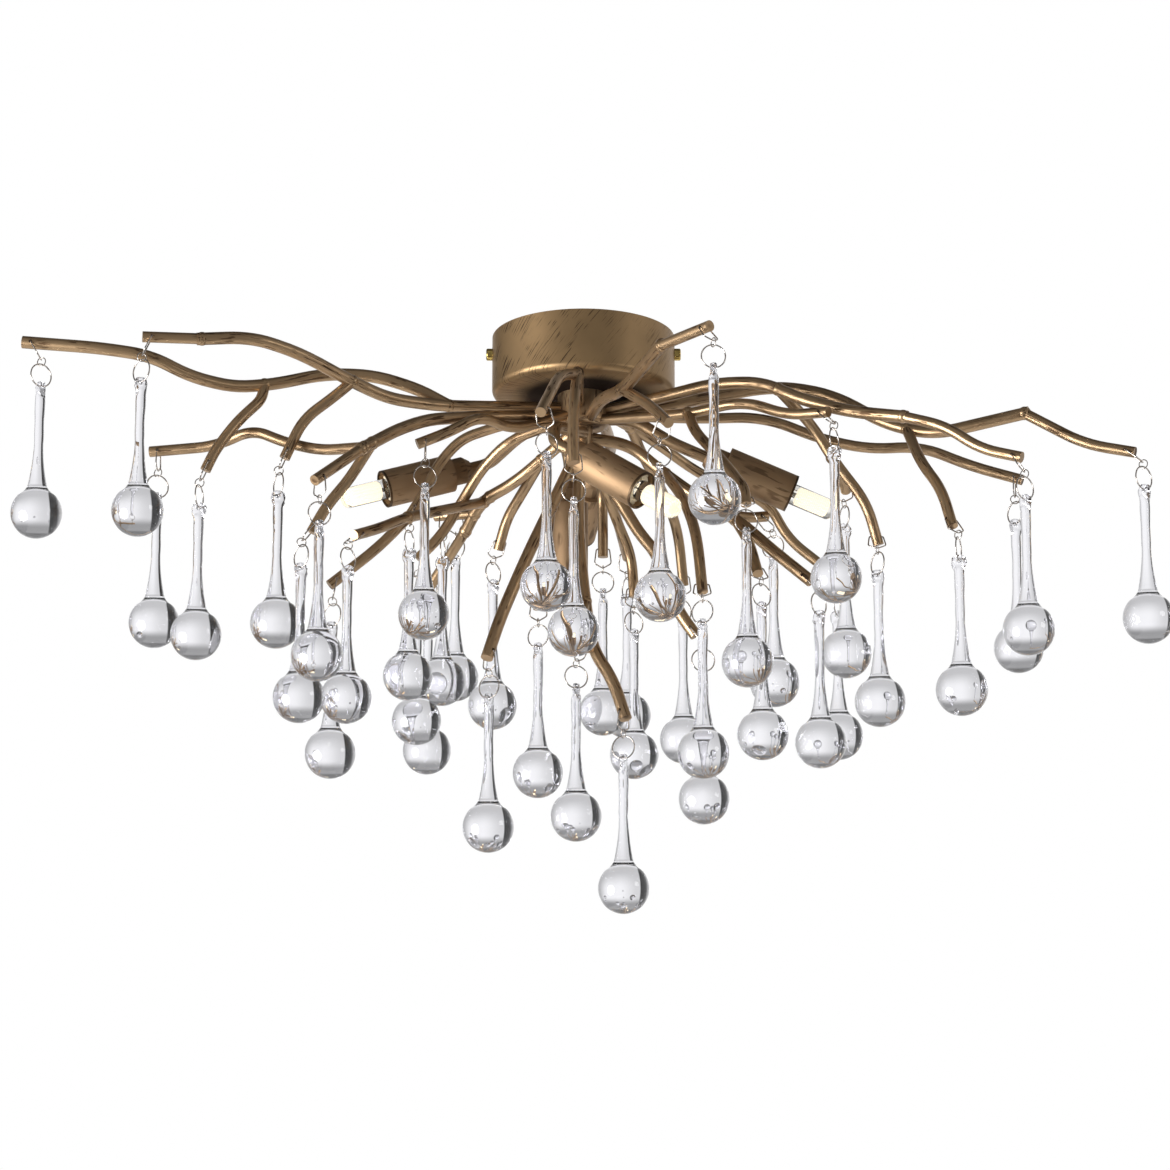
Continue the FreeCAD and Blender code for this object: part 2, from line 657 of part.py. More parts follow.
# Hangers: hook, jump ring and drop ring between the tip of a rod and the head of its glass drop
def hook_points(points, lean):
    """The hook's corners: its top side lies in the cross hole, its lowest corner carries the jump ring."""
    hole = tip_hole(points)
    across = sideways(points)
    level = DOWN.cross(across)
    if level.dot(end_direction(points)) < 0:
        level = -level
    down = DOWN * math.cos(math.radians(lean)) + level * math.sin(math.radians(lean))
    top = across * (hook_top_width / 2)
    shoulder = across * (hook_shoulder_width / 2)
    return [
        hole + top, hole + shoulder + down * hook_shoulder_drop, hole + down * hook_height,
        hole - shoulder + down * hook_shoulder_drop, hole - top,
    ]


def wire_hook(corners):
    """A closed loop of square wire with mitred corners."""
    normal = unit((corners[1] - corners[0]).cross(corners[2] - corners[1]))
    outer = offset_loop(corners, hook_wire / 2)
    inner = offset_loop(corners, -hook_wire / 2)
    lift = normal * (hook_wire / 2)
    outer_face = Part.Face(Part.makePolygon([point - lift for point in outer + outer[:1]]))
    inner_face = Part.Face(Part.makePolygon([point - lift for point in inner + inner[:1]]))
    return outer_face.cut(inner_face).extrude(normal * hook_wire)


def offset_loop(corners, distance):
    """The corners of a closed loop, moved outward by a distance in the loop's own plane."""
    normal = unit((corners[1] - corners[0]).cross(corners[2] - corners[1]))
    moved = []
    for index, corner in enumerate(corners):
        run_in = unit(corner - corners[index - 1])
        run_out = unit(corners[(index + 1) % len(corners)] - corner)
        outward = unit(run_in.cross(normal) + run_out.cross(normal))
        moved.append(corner + outward * (distance / outward.dot(run_in.cross(normal))))
    return moved


def link(centre, normal, diameter, wire, sides):
    """A ring of square wire with flat sides, one at the top and one at the bottom."""
    level = normal.cross(DOWN)
    turns = [(side - 0.5) * 2 * math.pi / sides for side in range(sides + 1)]
    faces = []
    for width in (diameter, diameter - 2 * wire):
        radius = width / 2 / math.cos(math.pi / sides)
        corners = [level * math.sin(turn) + DOWN * math.cos(turn) for turn in turns]
        base = centre - normal * (wire / 2)
        faces.append(Part.Face(Part.makePolygon([base + corner * radius for corner in corners])))
    return faces[0].cut(faces[1]).extrude(normal * wire)


def ring_axis(number):
    """The direction of the ring's wire where it passes through the head of the drop."""
    turn = math.radians(RING_TURNS[number])
    return Vector(math.cos(turn), math.sin(turn), 0)


def hanger(number, points):
    """The places of one hanger, from the rod's tip down to the hole in the head of the drop."""
    hook = hook_points(points, HOOK_LEANS.get(number, 0))
    along = sideways(points)
    ring_tangent = ring_axis(number)
    if along.dot(ring_tangent) < 0:
        along = -along
    jump_inside = jump_ring_diameter / 2 - jump_ring_wire
    jump_centre = hook[2] + DOWN * (jump_inside - hook_wire / 2 - hook_gap)
    ring_top = jump_centre + DOWN * (jump_inside - drop_ring_wire / 2 - link_gap)
    ring_centre = ring_top + DOWN * ((drop_ring_diameter - drop_ring_wire) / 2)
    pivot = ring_centre + DOWN * ((drop_ring_diameter - drop_ring_wire) / 2)
    head_hole = pivot + DOWN * (head_hole_diameter / 2 - drop_ring_wire / 2 - head_gap)
    return {
        "hook": hook, "jump_centre": jump_centre, "jump_normal": unit(along + ring_tangent * jump_turn_share),
        "ring_centre": ring_centre, "ring_normal": ring_tangent.cross(DOWN), "pivot": pivot,
        "head_hole": head_hole, "axis": ring_tangent,
    }


# Glass drop: a ball, a shoulder up to a crease, a drawn neck, and a flattened pierced head
def drop_outline():
    """Radius and height of the drop above the centre of its ball, from the bottom up."""
    ball = ball_diameter / 2
    head_rise = (neck_end_rise + drop_rise) / 2
    outline = [(ball * math.cos(angle), ball * math.sin(angle)) for angle in ball_low_angles]
    outline.append((ball * math.cos(shoulder_angle), ball * math.sin(shoulder_angle)))
    outline.append((crease_diameter / 2, crease_rise))
    for width, height in flare_shares:
        outline.append(((neck_diameter + (crease_diameter - neck_diameter) * width) / 2,
                        crease_rise + (neck_start_rise - crease_rise) * height))
    outline.append((neck_diameter / 2, neck_start_rise))
    outline.append((head_neck_diameter / 2, neck_end_rise))
    outline.append((head_diameter / 2, head_rise))
    for width, height in head_crown_shares:
        outline.append((head_diameter / 2 * width, head_rise + (drop_rise - head_rise) * height))
    outline.append((crown_diameter / 2, drop_rise))
    return outline


def glass_drop(hang):
    turns = [2 * math.pi * side / drop_sides for side in range(drop_sides + 1)]
    sections = [
        [Vector(radius * math.cos(turn), radius * math.sin(turn), rise) for turn in turns]
        for radius, rise in drop_outline()
    ]
    faces = [Part.Face(Part.makePolygon(section)) for section in (sections[0], sections[-1])]
    for lower, upper in zip(sections, sections[1:]):
        for side in range(drop_sides):
            corners = [lower[side], lower[side + 1], upper[side + 1], upper[side], lower[side]]
            faces.append(Part.Face(Part.makePolygon(corners)))
    body = Part.Solid(Part.Shell(faces))
    flat = (ball_diameter - head_thickness) / 2
    side_height = drop_rise - neck_end_rise
    sides = [
        Part.makeBox(flat, ball_diameter, side_height + overrun, Vector(x, -ball_diameter / 2, neck_end_rise))
        for x in (head_thickness / 2, -head_thickness / 2 - flat)
    ]
    hole_rise = drop_rise - head_hole_below_top
    hole = through_cylinder(head_hole_diameter, ball_diameter, Vector(0, 0, hole_rise), Vector(1, 0, 0))
    drop = body.cut(sides + [hole])
    turn = FreeCAD.Rotation(Vector(1, 0, 0), hang["axis"])
    drop.Placement = FreeCAD.Placement(hang["head_hole"] + DOWN * hole_rise, turn)
    return drop


def main():
    hub_solid = hub()
    save("canopy", [canopy()])
    save("ceiling_bracket", [ceiling_bracket()])
    save("canopy_fixings", [canopy_screw(-1), canopy_screw(1), hub_nut()])
    save("branch_hub", [hub_solid])
    others = [hub_solid]
    tips = {}
    for group in BRANCHES:
        rods = group_rods(group)
        save(group, branch_solids(rods, others))
        others += [rod for rod, knuckle in rods]
        for name, points in branch_points(group).items():
            if name[-1].isdigit():
                tips[int(name.split("_")[1])] = points
    save("lampholder_cups", [lampholder_cup(lamp) for lamp in LAMP_SHARES])
    save("lampholder_inserts", [lampholder_insert(lamp) for lamp in LAMP_SHARES])
    for index, lamp in enumerate(LAMP_SHARES, start=1):
        save("capsule_bulb_%d" % index, [capsule_bulb(lamp)])
        print("bulb", index, "slides along", lamp_axis(lamp))
    hangers = {number: hanger(number, tips[number]) for number in sorted(tips)}
    save("wire_hooks", [wire_hook(hang["hook"]) for hang in hangers.values()])
    rings = []
    for hang in hangers.values():
        rings.append(link(hang["jump_centre"], hang["jump_normal"], jump_ring_diameter, jump_ring_wire,
                          jump_ring_sides))
        rings.append(link(hang["ring_centre"], hang["ring_normal"], drop_ring_diameter, drop_ring_wire,
                          drop_ring_sides))
    save("hanger_rings", rings)
    for number, hang in hangers.items():
        save("glass_drop_%02d" % number, [glass_drop(hang)])
        print("drop", number, "hangs at", hang["pivot"], "and swings about", hang["axis"])


main()
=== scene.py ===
import json
import math
import random

import bmesh
import bpy
from mathutils import Matrix, Vector


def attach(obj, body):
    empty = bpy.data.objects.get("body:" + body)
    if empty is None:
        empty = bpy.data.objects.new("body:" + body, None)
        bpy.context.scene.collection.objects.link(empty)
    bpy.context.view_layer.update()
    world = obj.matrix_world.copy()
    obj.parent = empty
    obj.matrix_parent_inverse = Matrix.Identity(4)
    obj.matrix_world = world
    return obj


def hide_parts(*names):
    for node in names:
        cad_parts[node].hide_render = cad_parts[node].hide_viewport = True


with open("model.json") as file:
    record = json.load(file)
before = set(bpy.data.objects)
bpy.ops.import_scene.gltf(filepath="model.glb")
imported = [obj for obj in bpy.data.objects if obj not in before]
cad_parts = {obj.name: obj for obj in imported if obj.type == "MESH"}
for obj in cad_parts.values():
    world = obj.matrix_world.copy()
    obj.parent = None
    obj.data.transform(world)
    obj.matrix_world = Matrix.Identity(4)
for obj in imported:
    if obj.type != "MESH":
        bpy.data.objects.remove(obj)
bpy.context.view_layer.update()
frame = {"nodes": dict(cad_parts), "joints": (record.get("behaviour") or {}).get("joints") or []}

# Canopy: a spun steel cup that covers the ceiling bracket, painted antique gold-bronze. The painter drags a
# nearly dry dark brush slantwise over the wet coat, which leaves fine broken streaks round the wall.
canopy_gold = (0.36, 0.232, 0.115, 1)
canopy_umber = (0.03, 0.016, 0.007, 1)
canopy_radius = 0.06
canopy_sheen = 0.42
full_streaks, driest_streaks = 1.0, 0.35
full_side, dry_side = -0.02, 0.03
brush_slant = math.radians(-52)
streak_length, streak_width = 0.022, 0.0008
streak_roughness = 0.65
paint_metallic = 0.8
brush_relief, relief_strength = 0.0002, 0.25
# Painted shadow on the underside: nearly black, dull and not metallic near the hub, where the shade falls.
shadow_black = (0.02, 0.012, 0.008, 1)
shadow_edge, shadow_full = 0.052, 0.034
shadow_roughness = 0.9
paint_gloss, shadow_gloss = 0.5, 0.1


def feed(links, value, target):
    """Links an input to another node's output, or sets it to a plain number or colour."""
    if isinstance(value, bpy.types.NodeSocket):
        links.new(value, target)
    else:
        target.default_value = value


def noise(nodes, links, place, scale, detail=2.0, roughness=0.5):
    made = nodes.new("ShaderNodeTexNoise")
    made.inputs["Scale"].default_value = scale
    made.inputs["Detail"].default_value = detail
    made.inputs["Roughness"].default_value = roughness
    links.new(place, made.inputs["Vector"])
    return made.outputs["Fac"]


def spread(nodes, links, value, start, end, low=0.0, high=1.0, smooth=False):
    """A value that goes from low to high while the given one goes from start to end."""
    made = nodes.new("ShaderNodeMapRange")
    made.interpolation_type = "SMOOTHSTEP" if smooth else "LINEAR"
    feed(links, value, made.inputs["Value"])
    feed(links, start, made.inputs["From Min"])
    feed(links, end, made.inputs["From Max"])
    feed(links, low, made.inputs["To Min"])
    feed(links, high, made.inputs["To Max"])
    return made.outputs["Result"]


def product(nodes, links, first, second):
    made = nodes.new("ShaderNodeMath")
    made.operation = "MULTIPLY"
    feed(links, first, made.inputs[0])
    feed(links, second, made.inputs[1])
    return made.outputs[0]


def scaled(nodes, links, vector, factor):
    """A vector or colour times a number."""
    made = nodes.new("ShaderNodeVectorMath")
    made.operation = "SCALE"
    links.new(vector, made.inputs[0])
    feed(links, factor, made.inputs["Scale"])
    return made.outputs[0]


def mixed(nodes, links, factor, first, second, colour=False):
    """Goes from the first number or colour to the second as the factor goes from 0 to 1."""
    made = nodes.new("ShaderNodeMix")
    made.data_type = "RGBA" if colour else "FLOAT"
    first_input, second_input, result = (6, 7, 2) if colour else (2, 3, 0)
    feed(links, factor, made.inputs["Factor"])
    feed(links, first, made.inputs[first_input])
    feed(links, second, made.inputs[second_input])
    return made.outputs[result]


def brushed_coat():
    """Broken streaks that run along X of the given coordinates, with a slow change of tone under them."""
    group = bpy.data.node_groups.new("brushed_coat", "ShaderNodeTree")
    for name, kind in (("Coordinates", "Vector"), ("Place", "Vector"), ("Coat", "Color"), ("Streak", "Color"),
                       ("Amount", "Float"), ("Sheen", "Float")):
        group.interface.new_socket(name=name, in_out="INPUT", socket_type="NodeSocket" + kind)
    for name, kind in (("Colour", "Color"), ("Mask", "Float"), ("Roughness", "Float")):
        group.interface.new_socket(name=name, in_out="OUTPUT", socket_type="NodeSocket" + kind)
    nodes, links = group.nodes, group.links
    given = nodes.new("NodeGroupInput")
    out = nodes.new("NodeGroupOutput")
    fine = noise(nodes, links, given.outputs["Coordinates"], scale=1.0, detail=1.5, roughness=0.65)
    broken = noise(nodes, links, given.outputs["Place"], scale=70.0)
    slow = noise(nodes, links, given.outputs["Place"], scale=28.0, detail=3.0)
    streaks = spread(nodes, links, fine, start=0.555, end=0.60)
    gate = spread(nodes, links, broken, start=0.42, end=0.56)
    mask = product(nodes, links, product(nodes, links, streaks, gate), given.outputs["Amount"])
    tone = spread(nodes, links, slow, start=0.3, end=0.7, low=0.86, high=1.10)
    coat = scaled(nodes, links, given.outputs["Coat"], tone)
    colour = mixed(nodes, links, mask, coat, given.outputs["Streak"], colour=True)
    links.new(colour, out.inputs["Colour"])
    links.new(mask, out.inputs["Mask"])
    links.new(mixed(nodes, links, mask, given.outputs["Sheen"], streak_roughness), out.inputs["Roughness"])
    return group


coat_group = brushed_coat()


def finish_material(name):
    material = bpy.data.materials.new(name)
    material.use_nodes = True
    tree = material.node_tree
    return material, tree.nodes, tree.links, tree.nodes["Principled BSDF"]


def painted(name, coat, streak, amount, sheen, coordinates):
    """A painted metal whose streaks follow the coordinates that the given function makes."""
    material, nodes, links, shader = finish_material(name)
    place = nodes.new("ShaderNodeTexCoord")
    brush = nodes.new("ShaderNodeGroup")
    brush.name = "Brush"
    brush.node_tree = coat_group
    brush.inputs["Coat"].default_value = coat
    brush.inputs["Streak"].default_value = streak
    brush.inputs["Amount"].default_value = amount
    brush.inputs["Sheen"].default_value = sheen
    links.new(coordinates(nodes, links, place), brush.inputs["Coordinates"])
    links.new(place.outputs["Object"], brush.inputs["Place"])
    links.new(brush.outputs["Colour"], shader.inputs["Base Color"])
    links.new(brush.outputs["Roughness"], shader.inputs["Roughness"])
    bump = nodes.new("ShaderNodeBump")
    bump.invert = True
    bump.inputs["Strength"].default_value = relief_strength
    bump.inputs["Distance"].default_value = brush_relief
    links.new(brush.outputs["Mask"], bump.inputs["Height"])
    links.new(bump.outputs["Normal"], shader.inputs["Normal"])
    shader.inputs["Metallic"].default_value = paint_metallic
    return material


def slanted_round_wall(nodes, links, place):
    """Round the axis and up the wall, turned so that the streaks climb steeply."""
    parts = nodes.new("ShaderNodeSeparateXYZ")
    links.new(place.outputs["Object"], parts.inputs[0])
    turn = nodes.new("ShaderNodeMath")
    turn.operation = "ARCTAN2"
    links.new(parts.outputs["X"], turn.inputs[0])
    links.new(parts.outputs["Y"], turn.inputs[1])
    joined = nodes.new("ShaderNodeCombineXYZ")
    links.new(product(nodes, links, turn.outputs[0], canopy_radius), joined.inputs["X"])
    links.new(parts.outputs["Z"], joined.inputs["Y"])
    slant = nodes.new("ShaderNodeMapping")
    slant.vector_type = "TEXTURE"
    slant.inputs["Rotation"].default_value = (0, 0, brush_slant)
    slant.inputs["Scale"].default_value = (streak_length, streak_width, 1)
    links.new(joined.outputs[0], slant.inputs["Vector"])
    return slant.outputs[0]


def painted_shade_underside(material):
    """Painted shade: the canopy's underside turns nearly black and dull near the hub, where the shade falls.
    """
    nodes, links = material.node_tree.nodes, material.node_tree.links
    shader, brush = nodes["Principled BSDF"], nodes["Brush"]
    place = nodes.new("ShaderNodeTexCoord")
    level = nodes.new("ShaderNodeVectorMath")
    level.operation = "MULTIPLY"
    level.inputs[1].default_value = (1, 1, 0)
    links.new(place.outputs["Object"], level.inputs[0])
    reach = nodes.new("ShaderNodeVectorMath")
    reach.operation = "LENGTH"
    links.new(level.outputs[0], reach.inputs[0])
    share = spread(nodes, links, reach.outputs["Value"], shadow_edge, shadow_full, smooth=True)
    colour = mixed(nodes, links, share, brush.outputs["Colour"], shadow_black, colour=True)
    links.new(colour, shader.inputs["Base Color"])
    for name, wall, shadow in (("Roughness", brush.outputs["Roughness"], shadow_roughness),
                               ("Metallic", paint_metallic, 0.0),
                               ("Specular IOR Level", paint_gloss, shadow_gloss)):
        links.new(mixed(nodes, links, share, wall, shadow), shader.inputs[name])


def drying_brush(material):
    """The brush ran dry towards the right of the wall, so the streaks grow faint there."""
    nodes, links = material.node_tree.nodes, material.node_tree.links
    place = nodes.new("ShaderNodeTexCoord")
    wall = nodes.new("ShaderNodeSeparateXYZ")
    links.new(place.outputs["Object"], wall.inputs[0])
    amount = spread(nodes, links, wall.outputs["X"], dry_side, full_side, driest_streaks, full_streaks)
    links.new(amount, nodes["Brush"].inputs["Amount"])


def dress(node, material):
    """A carried-over piece keeps its shape and gets its finish."""
    piece = frame["nodes"][node]
    piece.data.materials.clear()
    piece.data.materials.append(material)


canopy_paint = painted("canopy_antique_bronze", canopy_gold, canopy_umber, full_streaks, canopy_sheen,
                       slanted_round_wall)
painted_shade_underside(canopy_paint)
drying_brush(canopy_paint)
dress("canopy", canopy_paint)

# Ceiling bracket: a bar of zinc-plated sheet steel with turned-down ears. It is stamped and bent, so it keeps
# the faint grain of the rolled sheet, and a pale cloudy bloom from the plating.
zinc_grey = (0.56, 0.57, 0.58, 1)
zinc_shade = (0.4368, 0.4446, 0.4524, 1)
grain_along, grain_across = 40, 1800


def two_tones(nodes, links, factor, shade, tint, shade_end=0.0, tint_start=1.0):
    """A ramp from the shade, up to shade_end, to the tint, from tint_start."""
    made = nodes.new("ShaderNodeValToRGB")
    dark, light = made.color_ramp.elements
    dark.position = shade_end
    dark.color = shade
    light.position = tint_start
    light.color = tint
    links.new(factor, made.inputs["Fac"])
    return made.outputs["Color"]


def zinc_plate():
    material, nodes, links, shader = finish_material("zinc_plated_sheet")
    place = nodes.new("ShaderNodeTexCoord")
    grain = nodes.new("ShaderNodeMapping")
    grain.inputs["Scale"].default_value = (grain_along, grain_across, grain_across)
    links.new(place.outputs["Object"], grain.inputs["Vector"])
    rolled = noise(nodes, links, grain.outputs[0], scale=1.0)
    links.new(two_tones(nodes, links, rolled, zinc_shade, zinc_grey), shader.inputs["Base Color"])
    shader.inputs["Metallic"].default_value = 0.9
    shader.inputs["Roughness"].default_value = 0.42
    return material


dress("ceiling_bracket", zinc_plate())

# Fixings: two turned brass screws with a domed head hold the canopy to the bracket's ears, and a hexagon nut
# inside clamps the hub. The brass is bright, with fine turning marks and a little brown in the corners.
brass_yellow = (0.80, 0.60, 0.20, 1)
brass_brown = (0.45, 0.30, 0.09, 1)


def turned_brass():
    material, nodes, links, shader = finish_material("turned_brass")
    place = nodes.new("ShaderNodeTexCoord")
    cloud = noise(nodes, links, place.outputs["Object"], scale=420.0)
    tone = two_tones(nodes, links, cloud, brass_brown, brass_yellow, shade_end=0.3, tint_start=0.62)
    links.new(tone, shader.inputs["Base Color"])
    shader.inputs["Metallic"].default_value = 1.0
    shader.inputs["Roughness"].default_value = 0.24
    return material


dress("canopy_fixings", turned_brass())

# Hub and branches: round rods of steel, bent cold and welded at forks, then painted dark brown and rubbed
# with gold along the rod, so fine streaks follow each run and the worn welds look browner.
rod_gold = (0.39, 0.262, 0.148, 1)
rod_umber = (0.055, 0.026, 0.010, 1)
rod_streaks, rod_sheen = 0.85, 0.33
facing_scale, drift_scale = 3.2, 55.0


def along_rod(nodes, links, place):
    """A rod's surface direction is steady along each straight run, so streaks that use it follow the run."""
    both = nodes.new("ShaderNodeVectorMath")
    both.operation = "ADD"
    links.new(scaled(nodes, links, place.outputs["Normal"], facing_scale), both.inputs[0])
    links.new(scaled(nodes, links, place.outputs["Object"], drift_scale), both.inputs[1])
    return both.outputs[0]


rod_paint = painted("rubbed_bronze_rod", rod_gold, rod_umber, rod_streaks, rod_sheen, along_rod)
for node in ("branch_hub", "branches_left", "branches_front", "branches_right", "branches_back",
             "branches_low"):
    dress(node, rod_paint)

# Lampholder covers: short straight shells of thin tube on a tapered collar, painted with the rods. Each hides
# a lampholder and ends in an open mouth ringed with painted shade, a thin dark band. Heights run outwards
# from the seat of the bulb.
cover_gold = (0.34, 0.222, 0.124, 1)
cover_streaks, cover_sheen = 0.55, 0.58
cover_radius, cover_wall = 0.0125, 0.001
cover_back, cover_mouth = -0.058, 0.0035
collar_radius, collar_end_radius = 0.009, 0.0055
collar_taper, collar_length = 0.0047, 0.014
collar_step = cover_back + collar_length
edge_break = 0.0001
cover_outline = [(collar_end_radius, cover_back), (collar_radius, cover_back + collar_taper),
                 (collar_radius, collar_step - edge_break), (cover_radius - edge_break, collar_step),
                 (cover_radius, collar_step + edge_break), (cover_radius, cover_mouth),
                 (cover_radius - cover_wall, cover_mouth),
                 (cover_radius - cover_wall, collar_step + cover_wall)]
cover_sides = 64
sharp_corner = math.radians(30)
# The mouth ring is painted shade: a thin dark band round the lip, standing in for the shaded inside of the
# mouth.
mouth_shade_brown = (0.09, 0.055, 0.028, 1)
rim_streaks, rim_sheen = 0.5, 0.4
rim_proud, rim_depth = 0.00004, 0.0014
rim_outer, rim_inner = cover_radius + rim_proud, cover_radius - cover_wall - rim_proud
rim_start, rim_end = cover_mouth - rim_depth, cover_mouth + rim_proud / 2
rim_outline = [(rim_outer, rim_start), (rim_outer, rim_end), (rim_inner, rim_end), (rim_inner, rim_start)]


def lathe(mesh, outline, sides, squash=None, closed=False):
    """Turns (radius, height) pairs round Z. squash may reshape each point; a closed outline has no caps."""
    rings = []
    for radius, height in outline:
        ring = []
        for side in range(sides):
            turn = 2 * math.pi * side / sides
            point = Vector((radius * math.cos(turn), radius * math.sin(turn), height))
            ring.append(mesh.verts.new(squash(point, turn, radius) if squash else point))
        rings.append(ring)
    for lower, upper in zip(rings, rings[1:] + rings[:1] if closed else rings[1:]):
        for side in range(sides):
            after = (side + 1) % sides
            mesh.faces.new((lower[side], lower[after], upper[after], upper[side]))
    if not closed:
        mesh.faces.new(tuple(reversed(rings[0])))
        mesh.faces.new(tuple(rings[-1]))
    return [vert for ring in rings for vert in ring]


def solid_piece(name, mesh, material, smooth=True):
    data = bpy.data.meshes.new(name)
    mesh.to_mesh(data)
    mesh.free()
    data.materials.append(material)
    data.polygons.foreach_set("use_smooth", [smooth] * len(data.polygons))
    piece = bpy.data.objects.new(name, data)
    bpy.context.scene.collection.objects.link(piece)
    return piece


def holder_frame(joint):
    """Where a bulb seats, with Z out of its lampholder."""
    out = Vector(joint["axis"]).normalized()
    return Matrix.Translation(Vector(joint["pos_m"])) @ out.to_track_quat("Z", "Y").to_matrix().to_4x4()


def number_of(joint):
    """The number in the name of the bulb or drop that the joint moves."""
    return joint["child"].split("_")[1]


bulb_joints = [joint for joint in frame["joints"] if joint["name"].startswith("bulb")]
cover_paint = painted("lampholder_cover_bronze", cover_gold, rod_umber, cover_streaks, cover_sheen, along_rod)
covers = bmesh.new()
for joint in bulb_joints:
    turned = lathe(covers, cover_outline, cover_sides)
    bmesh.ops.transform(covers, matrix=holder_frame(joint), verts=turned)
bmesh.ops.recalc_face_normals(covers, faces=covers.faces)
cover_piece = solid_piece("lampholder_covers_spun", covers, cover_paint)
cover_piece.data.set_sharp_from_angle(angle=sharp_corner)
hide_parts("lampholder_cups")
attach(cover_piece, "frame")
# Painted shade: each cover's mouth gets a thin dark ring.
mouth_shade_paint = painted("cover_mouth_painted_shade", mouth_shade_brown, rod_umber, rim_streaks, rim_sheen, along_rod)
for joint in bulb_joints:
    edge = bmesh.new()
    lathe(edge, rim_outline, cover_sides, closed=True)
    rim = solid_piece("cover_mouth_shade_ring_" + number_of(joint), edge, mouth_shade_paint, smooth=False)
    rim.matrix_world = holder_frame(joint)
    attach(rim, "frame")

# Lampholder inserts: pressed and fired ceramic, cream and dry to the touch, with ribs and a slot for the foot
# of the bulb. The clay keeps a fine speckle.
clay_cream = (0.80, 0.72, 0.56, 1)
clay_speck = (0.62, 0.53, 0.38, 1)


def fired_clay():
    material, nodes, links, shader = finish_material("cream_ceramic")
    place = nodes.new("ShaderNodeTexCoord")
    speckle = noise(nodes, links, place.outputs["Object"], scale=900.0)
    tone = two_tones(nodes, links, speckle, clay_speck, clay_cream, shade_end=0.35, tint_start=0.55)
    links.new(tone, shader.inputs["Base Color"])
    shader.inputs["Roughness"].default_value = 0.7
    return material


ceramic = fired_clay()
dress("lampholder_inserts", ceramic)

# Capsule bulbs: a clear blown capsule round a warm lit core of fine ribs on thin lead wires, over a flat
# cream foot that plugs into the lampholder. Each pulls straight out along its holder.
capsule_tint = (1.0, 0.985, 0.95, 1)
capsule_radius, capsule_length = 0.0069, 0.0338
capsule_start, capsule_nose = 0.0003, 0.0048
capsule_shoulder = [(0.55, 0.0), (0.9, 0.0006), (1.0, 0.002)]
capsule_sides, nose_steps, tip_share = 32, 9, 0.06
core_radius, core_end_radius = 0.0038, 0.00266
core_start, core_end = 0.0080, 0.0275
core_low_taper, core_high_taper = 0.0014, 0.0016
core_outline = [(core_end_radius, core_start - core_low_taper), (core_radius, core_start),
                (core_radius, core_end), (core_end_radius, core_end + core_high_taper)]
core_sides, core_rib_count, core_rib_depth = 96, 12, 0.10
warm_white = (1.0, 0.965, 0.89, 1)
warm_yellow = (0.94, 0.83, 0.62, 1)
core_body = (0.9, 0.72, 0.4, 1)
core_glow = 0.94
foot_outline = [(0.0052, -0.0110), (0.0066, -0.0104), (0.0068, 0.0), (0.0060, 0.0002)]
foot_half_thickness, foot_sides = 0.0019, 28
lead_dark = (0.10, 0.09, 0.08, 1)
lead_grey = (0.30, 0.28, 0.25, 1)
lead_radius, lead_start, lead_end = 0.00032, 0.0009, 0.0090
lead_outline = [(lead_radius, lead_start), (lead_radius, lead_end)]
lead_places, lead_sides = (-0.0026, -0.0009, 0.0009, 0.0026), 8


def clear_glass(name, tint):
    material, _, _, shader = finish_material(name)
    shader.inputs["Base Color"].default_value = tint
    shader.inputs["Roughness"].default_value = 0.0
    shader.inputs["Transmission Weight"].default_value = 1.0
    shader.inputs["IOR"].default_value = 1.5
    return material


def lit_core():
    """Bands of brighter and yellower glow, as from a stack of small emitters."""
    material, nodes, links, shader = finish_material("lit_warm_core")
    place = nodes.new("ShaderNodeTexCoord")
    bands = nodes.new("ShaderNodeTexWave")
    bands.bands_direction = "Z"
    bands.inputs["Scale"].default_value = 260.0
    bands.inputs["Distortion"].default_value = 1.5
    links.new(place.outputs["Object"], bands.inputs["Vector"])
    glow = two_tones(nodes, links, bands.outputs["Fac"], warm_yellow, warm_white)
    links.new(glow, shader.inputs["Emission Color"])
    shader.inputs["Base Color"].default_value = core_body
    shader.inputs["Emission Strength"].default_value = core_glow
    return material


def drawn_wire(name, shade, tint):
    """Round metal wire with the faint uneven tone that the drawing die leaves."""
    material, nodes, links, shader = finish_material(name)
    place = nodes.new("ShaderNodeTexCoord")
    draw = noise(nodes, links, place.outputs["Object"], scale=700.0)
    tone = two_tones(nodes, links, draw, shade, tint, shade_end=0.35, tint_start=0.6)
    links.new(tone, shader.inputs["Base Color"])
    shader.inputs["Metallic"].default_value = 1.0
    shader.inputs["Roughness"].default_value = 0.22
    return material


def capsule_outline():
    """The rounded shoulder at the foot, the straight wall and the domed nose."""
    outline = [(capsule_radius * share, capsule_start + rise) for share, rise in capsule_shoulder]
    wall_end = capsule_start + capsule_length - capsule_nose
    outline.append((capsule_radius, wall_end))
    for step in range(1, nose_steps):
        turn = math.pi / 2 * step / nose_steps
        outline.append((capsule_radius * math.cos(turn), wall_end + capsule_nose * math.sin(turn)))
    outline.append((capsule_radius * tip_share, capsule_start + capsule_length))
    return outline


def ribbed(point, turn, radius):
    depth = 1 + core_rib_depth * math.cos(core_rib_count * turn)
    return Vector((point.x * depth, point.y * depth, point.z))


def flattened(point, turn, radius):
    return Vector((point.x, max(-foot_half_thickness, min(foot_half_thickness, point.y)), point.z))


